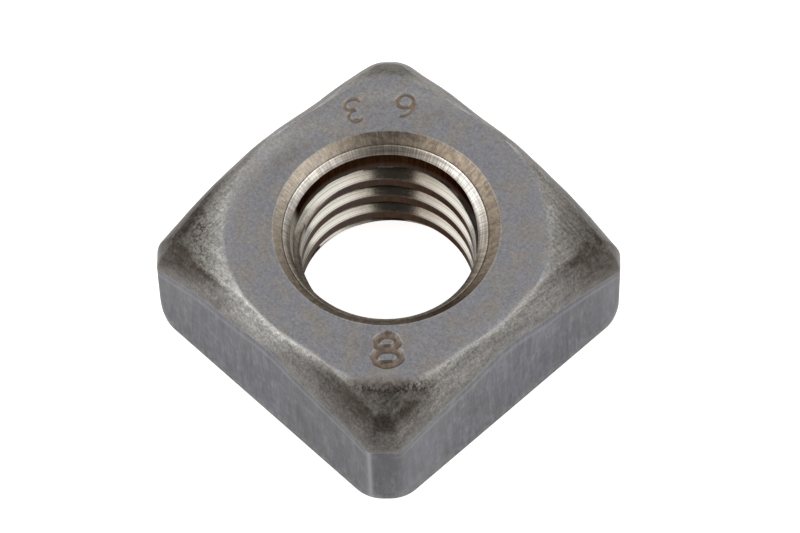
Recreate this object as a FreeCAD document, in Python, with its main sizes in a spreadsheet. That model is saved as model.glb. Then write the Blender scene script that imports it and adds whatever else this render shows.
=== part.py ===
"""Square nut, coarse metric thread, forged in one piece.

The bearing face lies on the XY plane with the thread axis on Z, and the
sides face along X and Y. Lengths are millimetres, angles are degrees.
The hole is bored at the thread's crests, with a stepped countersink at the
mouth and a plain one in the bearing face.
"""
import FreeCAD, Part
import Sketcher
import math
import os

# Driving sizes: name, value, what it measures
SIZES = [
    ("across_flats", 17.0, "spanner width, between opposite sides"),
    ("nut_height", 7.5, "bearing face to top face"),
    ("corner_radius", 1.3, "round on the upright corners"),
    ("corner_flat_depth", 0.18, "how deep a flat is pressed on each round corner"),
    ("crown_margin", 0.7, "from the crown's start on the top face to the sides"),
    ("crown_angle", 25.0, "fall of the crown cone below the top face"),
    ("shoulder_radius", 1.4, "forged round between the crown and the sides"),
    ("base_edge_radius", 0.35, "round on the outer edge of the bearing face"),
    ("bore_diameter", 8.6, "across the thread crests"),
    ("lead_width", 0.36, "lead-in above the first thread, across"),
    ("lead_depth", 0.36, "lead-in above the first thread, down"),
    ("neck_width", 0.14, "taper of the bored neck above the lead-in, across"),
    ("neck_depth", 1.0, "bored neck above the lead-in, down"),
    ("throat_width", 0.35, "bright bevel above the neck, across"),
    ("throat_depth", 0.55, "bright bevel above the neck, down"),
    ("rim_width", 0.48, "shallow dished rim of the mouth, across"),
    ("rim_depth", 0.15, "shallow dished rim of the mouth, down"),
    ("exit_width", 1.1, "countersink in the bearing face, across"),
    ("exit_depth", 1.3, "countersink in the bearing face, up"),
]

# How a sketch numbers its own axes, and the two ends of a line
ORIGIN_INDEX, X_AXIS_INDEX, Y_AXIS_INDEX = -1, -1, -2
START_INDEX, END_INDEX = 1, 2
TOUCHING = 1e-6
FULL_TURN_ANGLE = 360.0
CORNER_COUNT = 4
# A ball wider than this share of the corner round can't roll past the corner
SHOULDER_RATIO = 1.1

doc = FreeCAD.newDocument("square_nut")
sizes = doc.addObject("Spreadsheet::Sheet", "sizes")
for row, (name, value, note) in enumerate(SIZES, start=1):
    sizes.set("A%d" % row, name)
    sizes.set("B%d" % row, str(value))
    sizes.set("C%d" % row, note)
    sizes.setAlias("B%d" % row, name)
doc.recompute()

# Places where the sketches start; their dimensions are tied to the sheet
half_width = sizes.across_flats / 2
corner_reach = half_width * math.sqrt(2)
crown_radius = half_width - sizes.crown_margin
crown_slope = math.tan(math.radians(sizes.crown_angle))
apex = sizes.nut_height + crown_radius * crown_slope
bore_radius = sizes.bore_diameter / 2
neck_radius = bore_radius + sizes.lead_width
throat_radius = neck_radius + sizes.neck_width
rim_radius = throat_radius + sizes.throat_width
mouth_radius = rim_radius + sizes.rim_width
exit_radius = bore_radius + sizes.exit_width
rim_height = sizes.nut_height - sizes.rim_depth
throat_height = rim_height - sizes.throat_depth
neck_height = throat_height - sizes.neck_depth
lead_height = neck_height - sizes.lead_depth
corner_leg = ((2 - math.sqrt(2)) * sizes.corner_radius
              + math.sqrt(2) * sizes.corner_flat_depth)

# The same places as formulas on the sheet
HALF_WIDTH = "sizes.across_flats / 2"
CORNER_REACH = "sizes.across_flats / sqrt(2)"
CROWN_RADIUS = HALF_WIDTH + " - sizes.crown_margin"
APEX = "sizes.nut_height + (%s) * tan(sizes.crown_angle)" % CROWN_RADIUS
CROWN_EDGE = APEX + " - %s * tan(sizes.crown_angle)" % CORNER_REACH
BORE_RADIUS = "sizes.bore_diameter / 2"
NECK_RADIUS = BORE_RADIUS + " + sizes.lead_width"
THROAT_RADIUS = NECK_RADIUS + " + sizes.neck_width"
RIM_RADIUS = THROAT_RADIUS + " + sizes.throat_width"
MOUTH_RADIUS = RIM_RADIUS + " + sizes.rim_width"
EXIT_RADIUS = BORE_RADIUS + " + sizes.exit_width"
RIM_HEIGHT = "sizes.nut_height - sizes.rim_depth"
THROAT_HEIGHT = RIM_HEIGHT + " - sizes.throat_depth"
NECK_HEIGHT = THROAT_HEIGHT + " - sizes.neck_depth"
LEAD_HEIGHT = NECK_HEIGHT + " - sizes.lead_depth"
CORNER_LEG = "(2 - sqrt(2)) * sizes.corner_radius + sqrt(2) * sizes.corner_flat_depth"
SHOULDER = "min(sizes.shoulder_radius; %s * sizes.corner_radius)" % SHOULDER_RATIO

body = doc.addObject("PartDesign::Body", "square_nut")
body.Label = "square_nut"


def sketch_on(role, name):
    """Empty sketch on one of the body's own origin planes."""
    plane = [part for part in body.Origin.OriginFeatures if part.Role == role][0]
    sketch = body.newObject("Sketcher::SketchObject", name)
    sketch.AttachmentSupport = [(plane, "")]
    sketch.MapMode = "FlatFace"
    return sketch


def draw_outline(sketch, points):
    """Straight lines from point to point and back to the first."""
    count = len(points)
    places = [FreeCAD.Vector(across, up, 0) for across, up in points]
    for index in range(count):
        sketch.addGeometry(Part.LineSegment(places[index], places[(index + 1) % count]))
    for index in range(count):
        sketch.addConstraint(Sketcher.Constraint(
            "Coincident", index, END_INDEX, (index + 1) % count, START_INDEX))


def dimension(sketch, kind, corner, name, distance, formula):
    """Distance of an outline's corner from the origin, tied to the sheet."""
    index = sketch.addConstraint(Sketcher.Constraint(
        kind, ORIGIN_INDEX, START_INDEX, corner, START_INDEX, distance))
    sketch.renameConstraint(index, name)
    sketch.setExpression("Constraints." + name, formula)


def turned_cut(name, corners):
    """Groove all round the thread axis, with the half section that corners give.

    Each corner is (name, radius, height, radius formula, height formula). One
    without a formula lies on the thread axis or on the bearing face.
    """
    before = body.Shape.Volume
    section = sketch_on("XZ_Plane", name + "_section")
    draw_outline(section, [(radius, height) for _, radius, height, _, _ in corners])
    for index, (corner, radius, height, across, up) in enumerate(corners):
        if across:
            dimension(section, "DistanceX", index, corner + "_radius", radius, across)
        else:
            section.addConstraint(Sketcher.Constraint("PointOnObject", index, START_INDEX, Y_AXIS_INDEX))
        if up:
            dimension(section, "DistanceY", index, corner + "_height", height, up)
        else:
            section.addConstraint(Sketcher.Constraint("PointOnObject", index, START_INDEX, X_AXIS_INDEX))
    groove = body.newObject("PartDesign::Groove", name)
    groove.Profile = section
    groove.ReferenceAxis = (section, ["V_Axis"])
    groove.Angle = FULL_TURN_ANGLE
    doc.recompute()
    if groove.Shape.Volume >= before:
        raise RuntimeError(name + " removes nothing")
    return groove


def rounded(name, base, formula, wanted):
    """Fillet on the edges of the feature before it for which wanted(edge) holds."""
    edges = base.Shape.Edges
    names = ["Edge%d" % (index + 1) for index, edge in enumerate(edges) if wanted(edge)]
    fillet = body.newObject("PartDesign::Fillet", name)
    fillet.Base = (base, names)
    fillet.setExpression("Radius", formula)
    doc.recompute()
    return fillet


def is_upright(edge):
    """An edge parallel to the thread axis."""
    box = edge.BoundBox
    return box.XLength < TOUCHING and box.YLength < TOUCHING


def is_shoulder(edge):
    """An edge where the crown meets the sides."""
    middle = edge.valueAt((edge.FirstParameter + edge.LastParameter) / 2)
    outside = math.hypot(middle.x, middle.y) > crown_radius
    return outside and edge.BoundBox.ZMin > TOUCHING and not is_upright(edge)


def is_base_edge(edge):
    """An outer edge of the bearing face."""
    return edge.BoundBox.ZMax < TOUCHING


# Square blank, as high as the crown cone's point
plan = sketch_on("XY_Plane", "blank_plan")
draw_outline(plan, [
    (-half_width, -half_width),
    (half_width, -half_width),
    (half_width, half_width),
    (-half_width, half_width),
])
for line in (0, 2):
    plan.addConstraint(Sketcher.Constraint("Horizontal", line))
for line in (1, 3):
    plan.addConstraint(Sketcher.Constraint("Vertical", line))
plan.addConstraint(Sketcher.Constraint("Symmetric", 0, START_INDEX, 2, START_INDEX, ORIGIN_INDEX, START_INDEX))
dimension(plan, "DistanceX", 2, "side_x", half_width, HALF_WIDTH)
dimension(plan, "DistanceY", 2, "side_y", half_width, HALF_WIDTH)
blank = body.newObject("PartDesign::Pad", "blank")
blank.Profile = plan
blank.setExpression("Length", APEX)
doc.recompute()
round_corners = rounded("round_corners", blank, "sizes.corner_radius", is_upright)

# Crown: a cone all over the top, rounded down to the sides, then faced flat
crown = turned_cut("crown", [
    ("apex", 0, apex, None, APEX),
    ("edge", corner_reach, apex - corner_reach * crown_slope, CORNER_REACH, CROWN_EDGE),
    ("blank", corner_reach, apex, CORNER_REACH, APEX),
])
shoulder = rounded("shoulder", crown, SHOULDER, is_shoulder)
top_face = turned_cut("top_face", [
    ("middle", 0, sizes.nut_height, None, "sizes.nut_height"),
    ("level", corner_reach, sizes.nut_height, CORNER_REACH, "sizes.nut_height"),
    ("waste", corner_reach, apex, CORNER_REACH, APEX),
    ("apex", 0, apex, None, APEX),
])
base_edge = rounded("base_edge", top_face, "sizes.base_edge_radius", is_base_edge)

# Narrow flats pressed on the four corners
flat_plan = sketch_on("XY_Plane", "corner_flat_plan")
draw_outline(flat_plan, [
    (half_width, half_width - corner_leg),
    (half_width, half_width),
    (half_width - corner_leg, half_width),
])
dimension(flat_plan, "DistanceX", 0, "side_x", half_width, HALF_WIDTH)
dimension(flat_plan, "DistanceY", 0, "foot_y", half_width - corner_leg,
          "%s - (%s)" % (HALF_WIDTH, CORNER_LEG))
dimension(flat_plan, "DistanceX", 2, "foot_x", half_width - corner_leg,
          "%s - (%s)" % (HALF_WIDTH, CORNER_LEG))
dimension(flat_plan, "DistanceY", 2, "side_y", half_width, HALF_WIDTH)
flat_plan.addConstraint(Sketcher.Constraint("Vertical", 0))
flat_plan.addConstraint(Sketcher.Constraint("Horizontal", 1))
corner_flat = body.newObject("PartDesign::Pocket", "corner_flat")
corner_flat.Profile = flat_plan
corner_flat.Type = "ThroughAll"
corner_flat.Reversed = True
doc.recompute()
if corner_flat.Shape.Volume >= base_edge.Shape.Volume:
    raise RuntimeError("corner_flat removes nothing")
corner_flats = body.newObject("PartDesign::PolarPattern", "corner_flats")
corner_flats.Originals = [corner_flat]
corner_flats.Axis = (flat_plan, ["N_Axis"])
corner_flats.Angle = FULL_TURN_ANGLE
corner_flats.Occurrences = CORNER_COUNT
body.Tip = corner_flats
doc.recompute()

# Threaded hole at its crests, from the bearing face up to the mouth
hole = turned_cut("hole", [
    ("foot", 0, 0, None, None),
    ("exit", exit_radius, 0, EXIT_RADIUS, None),
    ("wall_foot", bore_radius, sizes.exit_depth, BORE_RADIUS, "sizes.exit_depth"),
    ("wall_head", bore_radius, lead_height, BORE_RADIUS, LEAD_HEIGHT),
    ("neck", neck_radius, neck_height, NECK_RADIUS, NECK_HEIGHT),
    ("throat", throat_radius, throat_height, THROAT_RADIUS, THROAT_HEIGHT),
    ("rim", rim_radius, rim_height, RIM_RADIUS, RIM_HEIGHT),
    ("mouth", mouth_radius, sizes.nut_height, MOUTH_RADIUS, "sizes.nut_height"),
    ("head", 0, sizes.nut_height, None, "sizes.nut_height"),
])

for feature in doc.Objects:
    if "Invalid" in feature.State or "Error" in feature.State:
        raise RuntimeError("%s failed: %s" % (feature.Name, feature.State))
if body.Shape.isNull() or not body.Shape.isValid() or len(body.Shape.Solids) != 1:
    raise RuntimeError("the nut is not one valid solid")

os.makedirs("parts", exist_ok=True)
body.Shape.exportStep(os.path.join("parts", body.Label + ".step"))
print("volume", round(body.Shape.Volume, 2), "mm3")
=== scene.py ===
"""Square nut on a white table: threaded hole, forged crown, stamped figures.

The nut is one closed mesh of rings and columns. A column is a half plane
through the thread axis; the rings follow its section from the foot of the
hole, up the thread, over the top and the crown, down the side and back along
the bearing face. Lengths are millimetres until the mesh is made, and bearings
are degrees round the thread axis, from +X towards +Y.
"""
import math

import bmesh
import bpy
import numpy as np
from mathutils import Matrix, Vector, noise


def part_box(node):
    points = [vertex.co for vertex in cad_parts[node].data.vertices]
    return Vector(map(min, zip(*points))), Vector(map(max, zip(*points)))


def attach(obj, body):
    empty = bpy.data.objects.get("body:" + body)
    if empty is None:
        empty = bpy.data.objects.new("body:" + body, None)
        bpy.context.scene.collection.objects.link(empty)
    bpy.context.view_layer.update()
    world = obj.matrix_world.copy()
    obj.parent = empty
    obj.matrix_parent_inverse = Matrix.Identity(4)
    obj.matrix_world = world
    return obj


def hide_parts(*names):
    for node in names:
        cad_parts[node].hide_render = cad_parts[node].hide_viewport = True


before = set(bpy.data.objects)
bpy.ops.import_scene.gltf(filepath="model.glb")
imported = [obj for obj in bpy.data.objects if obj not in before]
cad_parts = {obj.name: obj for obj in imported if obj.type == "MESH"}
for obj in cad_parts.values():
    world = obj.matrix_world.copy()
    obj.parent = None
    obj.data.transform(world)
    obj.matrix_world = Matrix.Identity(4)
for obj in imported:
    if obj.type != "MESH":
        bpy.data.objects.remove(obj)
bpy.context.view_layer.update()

MM = 0.001
NODE = "square_nut"
low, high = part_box(NODE)
HALF = (high[0] - low[0]) / MM / 2
HEIGHT = (high[2] - low[2]) / MM

# Plan outline: how far each corner's flat stands from the axis, and how the
# corners draw in and grow rounder towards the bearing face
FRONT_REACH, RIGHT_REACH, BACK_REACH, LEFT_REACH = 11.25, 11.54, 11.15, 11.45
CORNER_BLEND = 0.28
BACK_CORNER_BLEND = 1.7
FOOT_DRAW_IN, FOOT_BLEND, FOOT_SPAN = 0.17, 1.7, 0.75
BASE_ROUND = 0.09

# Crown: its cone, and the forged shoulder between a crease and the sides
CROWN_SLOPE = math.tan(math.radians(25))
SHOULDER_STEEPNESS = (math.radians(40), math.radians(83))
SKIN_RELIEF, SIDE_RELIEF = 0.12, 0.05
SKIN_HOLLOW, SIDE_HOLLOW = 1.9, 2.6
SHOULDER_AT_SIDES = 0.70
SHOULDER_AT_CORNERS = 1.04
# Where it is wider or narrower: bearing, spread, change
SHOULDER_CHANGES = [
    (-155, 17, -0.36),
    (-147, 8, -0.06),
    (-117, 13, -0.24),
    (62, 14, -0.26),
    (90, 42, -0.22),
    (95, 13, 0.25),
    (115, 9, -0.05),
    (126, 6, 0.12),
    (137, 14, 0.06),
    (174, 15, 0.15),
    (180, 42, -0.22),
]
TOP_FACE_RADIUS = 7.80
# Its edge is softer towards the left and right corners: bearing, spread, strength
TOP_EDGE_SOFTNESS = 0.10
TOP_EDGE_SOFTER = [(45, 35, 0.22), (-135, 35, 0.22)]
# Where it reaches further: bearing, spread, extra reach
TOP_FACE_BULGES = [
    (-125, 28, 0.22),
    (-45, 23, 1.03),
    (28, 20, 0.28),
    (136, 18, 1.10),
]

# Finish of the crown, patch by patch: bearing, radius of its middle, spread round the
# axis, spread outward in millimetres, strength. Scale and dirt, with painted shade in creases:
GRIME_AND_SHADE_BY_RADIUS = [
    (-150, 9.30, 12, 0.50, 0.30),
    (-141, 10.30, 10, 0.90, 0.75),
    (-62, 8.50, 8, 0.30, 0.26),
    (-46, 9.00, 15, 0.35, 0.40),
    (-44, 9.80, 17, 0.75, 0.68),
    (-28, 8.45, 9, 0.30, 0.20),
    (-5, 7.95, 16, 0.30, 0.20),
    (39, 9.90, 7, 0.35, 0.35),
    (42, 9.60, 8, 0.50, 0.18),
    (45, 10.70, 8, 0.80, 0.55),
    (50, 9.30, 17, 1.10, 0.45),
    (135, 9.85, 22, 0.75, 0.68),
    (136, 9.25, 22, 0.38, 0.30),
]
# The same, placed by how far in from the sides instead of by radius
GRIME_AND_SHADE_BY_INSET = [
    (-168, 0.60, 9, 0.25, 0.25),
    (-152, 0.35, 9, 0.40, 0.40),
    (-138, 0.20, 9, 0.45, 0.62),
    (-134, 0.74, 10, 0.40, 1.00),
    (-127, 0.30, 7, 0.13, 0.45),
    (-120, 0.60, 8, 0.14, 0.75),
    (-62, 0.50, 12, 0.50, 0.20),
    (-45, 0.10, 6, 0.30, 0.45),
    (-45, 0.66, 15, 0.26, 0.62),
    (24, 0.90, 8, 0.18, 0.35),
    (39, 0.95, 10, 0.18, 0.80),
    (41, 0.20, 9, 0.40, 0.45),
    (54, 0.20, 8, 0.40, 0.35),
    (94, 0.15, 40, 0.45, 0.50),
    (113, 0.38, 14, 0.34, 0.85),
    (135, 0.45, 20, 0.45, 0.30),
    (157, 0.55, 12, 0.28, 0.50),
    (176, 0.15, 40, 0.45, 0.50),
]
# Painted highlights: paler bands by radius and by how far in from the sides
SHEEN_BY_RADIUS = [
    (-175, 7.50, 13, 0.45, 0.48),
    (-158, 7.95, 14, 0.40, 0.36),
    (-144, 8.20, 9, 0.40, 0.30),
    (-142, 9.00, 6, 0.50, 0.22),
    (53, 8.20, 9, 0.35, 0.22),
    (130, 7.90, 24, 0.50, 0.24),
    (168, 6.90, 20, 0.50, 0.20),
]
SHEEN_BY_INSET = [
    (-139, 1.08, 9, 0.09, 0.22),
    (-123, 0.90, 7, 0.08, 0.20),
    (-27, 0.55, 13, 0.45, 0.36),
    (0, 0.55, 17, 0.40, 0.24),
    (22, 0.50, 12, 0.40, 0.10),
]
# Brown stains on the top face
STAINS = [
    (-175, 6.70, 14, 0.60, 0.45),
    (-48, 6.90, 9, 0.80, 0.35),
    (-43, 8.88, 17, 0.20, 0.95),
    (138, 7.60, 24, 0.90, 0.20),
]
# Coarse dark pits: left of the hole, and under the front edge of the top face
PITS = [
    (-137, 9.25, 11, 0.55, 0.90),
    (-122, 9.20, 9, 0.40, 0.40),
    (-42, 9.06, 11, 0.26, 2.40),
]
# Where the slope just outside the top face is scoured bright: bearing, spread,
# strength. It sets in between two depths below the top face and fades over
# POLISH_FADE, and over more where the bright band is wider.
POLISH = [
    (-137, 10, 0.42),
    (-120, 10, 0.62),
    (-102, 10, 0.62),
    (-86, 10, 0.62),
    (-72, 8, 0.45),
    (-60, 6, 0.16),
    (-28, 6, 0.20),
    (-6, 14, 0.26),
    (20, 12, 0.26),
    (47, 15, 0.30),
    (90, 12, 0.20),
    (186, 12, 0.22),
]
POLISH_START = (-0.03, 0.05)
POLISH_FADE = 0.22
POLISH_WIDER = [(-102, 22, 0.75)]

# Finish of the sides: bearing, spread, strength. The crown's scale, with its painted
# shade, runs down onto them and fades towards the foot.
SCALE_AND_SHADE_BELOW_CROWN = 0.6
FACETS = [(-45, 4.5, 1.0), (45, 3, 1.0)]
FACET_GRIME = 0.35
SIDE_GRIME = [(-66, 14, 0.16)]
# Painted shade at the foot of the front corner
FOOT_SHADE = [(-45, 5, 0.50)]
# Painted highlights on the sides
SIDE_SHEEN = [(-138, 4, 0.25), (40, 4, 0.20), (-34, 7, 0.20)]
FACET_EDGE_WEAR = [(-48.9, 0.6, 0.80)]
# The pale lip under the shoulder: how far down the side, and its width
LIP_SHARE, LIP_WIDTH = 0.10, 0.02

# Hole, named from the mouth down
MOUTH_RADIUS, RIM_RADIUS, THROAT_RADIUS = 5.63, 5.15, 4.80
NECK_RADIUS, CREST_RADIUS, ROOT_RADIUS = 4.66, 4.30, 5.00
RIM_HEIGHT = HEIGHT - 0.40
THROAT_HEIGHT = RIM_HEIGHT - 0.34
NECK_HEIGHT = THROAT_HEIGHT - 0.96
LEAD_HEIGHT = NECK_HEIGHT - 0.36
EXIT_RADIUS, EXIT_HEIGHT = 5.40, 1.30
EDGE_SOFTNESS = 0.03
# How far the throat's bevel swells, and how deep the nick between it and the rim
BEVEL_BULGE = 1.3
RIM_NICK = 0.03

# Finish of the hole: bearing, spread, strength
# Crests and bare bore are darkened by dirt and by painted shade of the hole
CREST_DIRT_AND_SHADE = 0.86
CREST_PALER = [(205, 40, 0.18), (35, 32, 0.30)]
ROOT_STAIN = [(129, 25, 0.90)]
CUT_LEAD = [(205, 62, 1.30)]
RIM_GRIME = [(134, 30, 0.26), (-14, 20, 0.85), (-85, 45, 0.12)]
RIM_POLISH = [(-160, 45, 0.50), (-48, 42, 0.13)]
# Polished metal with a painted highlight on the left of the bevel
BEVEL_POLISH_AND_SHEEN = [(-165, 35, 0.38)]
# Painted highlight streaks on the bevel: bearing, share of the way down, spread, width, strength
BEVEL_HIGHLIGHT_STREAKS = [
    (82, 0.10, 26, 0.11, 1.1),
    (74, 0.64, 27, 0.26, 1.1),
    (137, 1.00, 38, 0.06, 0.9),
    (-150, 0.03, 70, 0.09, 0.5),
]
BARE_NICK = [(85, 32, 1.0), (-158, 24, 1.0)]
LIP_POLISH = 0.65
LIP_DULLER = [(137, 34, 0.80)]
EXIT_BEVEL = 0.6
# The bore is wiped clean from one bearing to another, counted from the front
# corner, and above a height; each starts and ends softly
WIPED_FROM = (248, 258)
WIPED_TO = (330, 358)
WIPED_ABOVE = (4.9, 5.1)

# Thread
PITCH = 1.5
FLANK_RISE = (ROOT_RADIUS - CREST_RADIUS) * math.tan(math.radians(30))
ROOT_FLAT = 0.16
CREST_FLAT = PITCH - 2 * FLANK_RISE - ROOT_FLAT
CREST_BEARING = math.radians(135.5)
CREST_TOP_THERE = 5.23
THREAD_FOOT = 0.45
THREAD_FADE_LOW, THREAD_FADE_HIGH, THREAD_FADE_DEPTH = 5.60, 6.00, 0.6
# How far the thread is cut past the bore before the bore counts as gone
THREAD_BITES = 0.07
# Bearing, spread and change: the thread ends lower there, the countersink
# stands a little off the axis, and the mouth is worn wider
FADE_LOWER = [(52, 48, 0.48)]
COUNTERSINK_NARROWER = [(50, 38, 0.30)]
MOUTH_WIDER = [(130, 62, 0.10)]

# Camera: where it stands round and above the nut, and how long its lens is
CAMERA_AZIMUTH = math.radians(47.352)
CAMERA_ELEVATION = math.radians(57.912)
CAMERA_DISTANCE = 419.646
CAMERA_ROLL = math.radians(-1.9)
IMAGE_WIDTH, IMAGE_HEIGHT = 800, 533
FOCAL_PIXELS = 8447.4
NUT_CENTRE_PIXEL = (388.021, 268.483)
SENSOR_WIDTH = 36.0

# Studio: the floor, and a soft room that is dark behind the camera. A spread
# holds the cosines between which a direction passes into the dark.
TABLE_TOP = -0.01 * MM
TABLE_GLOW = 0.85
TABLE_REACH = 1.0
SKY_COLOUR = (1, 0.995, 0.985)
SKY_SPREAD = (0.1, 0.95)
SKY_LEVELS = (0.95, 0.78)
DARK_PATCH_TURN = math.radians(-6)
DARK_PATCH_SPREAD = (0.825, 0.94)
DARK_PATCH_LEVEL = 0.08
DARK_FRONT_RISE = 0.12
DARK_FRONT_SPREAD = (0.72, 0.95)
DARK_FRONT_LEVEL = 0.25
# Soft boxes: bearing and power
SOFT_BOXES = {"left_box": (-117, 1.1), "right_box": (30, 1.0)}
SOFT_BOX_ELEVATION, SOFT_BOX_DISTANCE, SOFT_BOX_SIZE = math.radians(47), 0.6, 0.48

# Mesh
COLUMNS = 460
CLOSER_AT_FIGURES, CLOSER_AT_CORNERS, CORNER_SPREAD = 2.2, 0.8, 6
TOP_FACE_RINGS = 56
CLOSED_WITHIN = 2e-7
SHARP_ANGLE = math.radians(32)


def smoothstep(start, end, value):
    """0 before start, 1 after end, smooth between."""
    share = np.clip((value - start) / (end - start), 0, 1)
    return share * share * (3 - 2 * share)


def turn_between(angle, bearing):
    """Signed angle from a bearing, wrapped to half a turn each way."""
    return (angle - bearing + np.pi) % (2 * np.pi) - np.pi


def bulge(angle, bearing_degrees, spread_degrees):
    """Bell over a bearing, 1 at its middle."""
    away = turn_between(angle, math.radians(bearing_degrees))
    return np.exp(-(away / math.radians(spread_degrees)) ** 2)


def lobes(angle, table):
    """Sum of bells from a table of bearing, spread and strength."""
    return sum(strength * bulge(angle, bearing, spread) for bearing, spread, strength in table)


def arc(centre, radii, start, end, steps):
    """Points along part of an ellipse, angles in degrees."""
    angles = np.radians(np.linspace(start, end, steps))
    return np.c_[centre[0] + radii[0] * np.cos(angles), centre[1] + radii[1] * np.sin(angles)]


# Stamped figures: strokes in a box one unit high, drawn upright
FIGURES = {
    "8": [
        arc((0, 0.26), (0.30, 0.24), 0, 360, 22),
        arc((0, -0.24), (0.37, 0.27), 0, 360, 24),
    ],
    "3": [
        arc((-0.02, 0.24), (0.27, 0.23), 140, -90, 16),
        arc((-0.02, -0.24), (0.30, 0.25), 90, -150, 16),
    ],
    "6": [
        arc((0, -0.2), (0.3, 0.29), 0, 360, 24),
        arc((0.25, -0.1), (0.55, 0.6), 180, 105, 10),
    ],
}
# A groove's wall runs between two shares of half its stroke, with a low burr
# outside it: its place and width as such shares, its height as a share of depth
GROOVE_WALL = (0.35, 1.15)
BURR_PLACE, BURR_WIDTH, BURR_HEIGHT = 1.45, 0.35, 0.14
# Figure, bearing and radius of its middle, height, half its stroke, depth
STAMPS = [
    ("8", -43.96, 7.03, 1.70, 0.225, 0.14),
    ("3", 148.9, 7.16, 1.35, 0.13, 0.06),
    ("6", 128.5, 7.24, 1.35, 0.13, 0.05),
]


def stroke_distance(x, y, line):
    """Distance from points to a line of straight pieces."""
    best = np.full(x.shape, np.inf)
    for (ax, ay), (bx, by) in zip(line[:-1], line[1:]):
        dx, dy = bx - ax, by - ay
        along = np.clip(((x - ax) * dx + (y - ay) * dy) / (dx * dx + dy * dy), 0, 1)
        best = np.minimum(best, np.hypot(x - ax - along * dx, y - ay - along * dy))
    return best


def stroke_waver(x, y):
    """How unevenly the punch's edge bit into the metal, in millimetres."""
    return (0.035 * np.sin(5.1 * x + 1.3) * np.sin(4.3 * y + 0.4)
            + 0.02 * np.sin(11 * x - 7 * y))


def stamped(x, y):
    """Height change and how deep in a figure, 0 to 1, for points of the top face."""
    change = np.zeros(x.shape)
    inside = np.zeros(x.shape)
    for figure, bearing, radius, size, stroke, depth in STAMPS:
        angle = math.radians(bearing)
        out = (math.cos(angle), math.sin(angle))
        east = (-out[1], out[0])
        px, py = x - radius * out[0], y - radius * out[1]
        local_x = (px * east[0] + py * east[1]) / size
        local_y = -(px * out[0] + py * out[1]) / size
        gap = size * np.min([stroke_distance(local_x, local_y, line)
                             for line in FIGURES[figure]], axis=0)
        gap = gap + stroke_waver(x, y)
        groove = 1 - smoothstep(stroke * GROOVE_WALL[0], stroke * GROOVE_WALL[1], gap)
        burr = np.exp(-((gap - stroke * BURR_PLACE) / (stroke * BURR_WIDTH)) ** 2)
        change += depth * (BURR_HEIGHT * burr - groove)
        inside = np.maximum(inside, groove)
    return change, inside


# Plan outline as a distance field: sides and corner flats, blended
def inset(x, y, height):
    """How far a point lies inside the outline at a height, square to it."""
    foot = np.exp(-np.maximum(height, 0) / FOOT_SPAN)
    is_back = (x < 0) & (y > 0)
    blend = np.where(is_back, BACK_CORNER_BLEND, CORNER_BLEND + FOOT_BLEND * foot)
    corner = np.where(x > 0, np.where(y > 0, RIGHT_REACH, FRONT_REACH),
                      np.where(y > 0, BACK_REACH, LEFT_REACH)) - FOOT_DRAW_IN * foot
    ax, ay = np.abs(x), np.abs(y)
    inner_side = HALF - blend
    inner_reach = corner - blend
    joint = inner_reach * math.sqrt(2) - inner_side
    far, near = np.maximum(ax, ay), np.minimum(ax, ay)
    over_side = far - inner_side
    over_flat = (far + near) / math.sqrt(2) - inner_reach
    to_joint = np.hypot(far - inner_side, near - joint)
    along_flat = (near - far) / math.sqrt(2) - (joint - inner_side) / math.sqrt(2)
    outside = np.where(near <= joint, over_side, np.where(along_flat >= 0, over_flat, to_joint))
    blended = np.where((over_side > 0) | (over_flat > 0), outside, np.maximum(over_side, over_flat))
    return blend - blended


def reach(angle, depth, height):
    """Radius at which a bearing meets the outline drawn in by depth."""
    near, far = np.zeros(angle.shape), np.full(angle.shape, HALF * 1.5)
    for _ in range(44):
        middle = (near + far) / 2
        is_inside = inset(middle * np.cos(angle), middle * np.sin(angle), height) > depth
        near = np.where(is_inside, middle, near)
        far = np.where(is_inside, far, middle)
    return (near + far) / 2


def top_face_radius(angle):
    """How far the top face reaches before the crown falls away."""
    return TOP_FACE_RADIUS + lobes(angle, TOP_FACE_BULGES)


def cornered(angle):
    """0 at the middle of a side, 1 at a corner."""
    return smoothstep(0.05, 0.75, np.abs(np.sin(2 * angle)))


def undulation(radius, angle, height, hollow=SKIN_HOLLOW):
    """Slow unevenness of the forged skin, between 0 and 1, in hollows of one size."""
    x, y, z = np.broadcast_arrays(radius * np.cos(angle), radius * np.sin(angle), height)
    points = np.stack((x, y, z), -1)
    slow = [noise.noise(Vector(point) / hollow) for point in points]
    quick = [noise.noise(Vector(point) * 2.6 / hollow + Vector((7, 3, 1))) for point in points]
    return np.clip(0.5 + 0.5 * np.array(slow) + 0.2 * np.array(quick), 0, 1)


def shoulder_width(angle):
    """How far in from the sides the crease of the shoulder lies."""
    widening = (SHOULDER_AT_CORNERS - SHOULDER_AT_SIDES) * cornered(angle)
    return SHOULDER_AT_SIDES + widening + lobes(angle, SHOULDER_CHANGES)


def crown_height(radius, angle):
    """Height of the crown before the top face is cut: cone, crease, shoulder."""
    depth = np.maximum(inset(radius * np.cos(angle), radius * np.sin(angle), HEIGHT), 0)
    width = shoulder_width(angle)
    side_bearing = np.round(angle / (np.pi / 2)) * (np.pi / 2)
    slope = CROWN_SLOPE * np.cos(angle - side_bearing)
    start, end = SHOULDER_STEEPNESS
    ball = width / (math.sin(end) - math.sin(start))
    past_crease = np.maximum(width - depth, 0)
    lean = np.arcsin(np.clip(math.sin(start) + past_crease / ball, 0, 1))
    fall = ball * (math.cos(start) - np.cos(lean)) - slope * past_crease
    return HEIGHT - (radius - top_face_radius(angle)) * CROWN_SLOPE - fall


def patches(outward, angle, table, most=1.0):
    """Strength of a table of patches, by bearing and by one measure outward."""
    total = np.zeros(angle.shape)
    for bearing, middle, spread, width, strength in table:
        across = np.exp(-((outward - middle) / width) ** 2)
        total = total + strength * bulge(angle, bearing, spread) * across
    return np.minimum(total, most)


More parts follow.
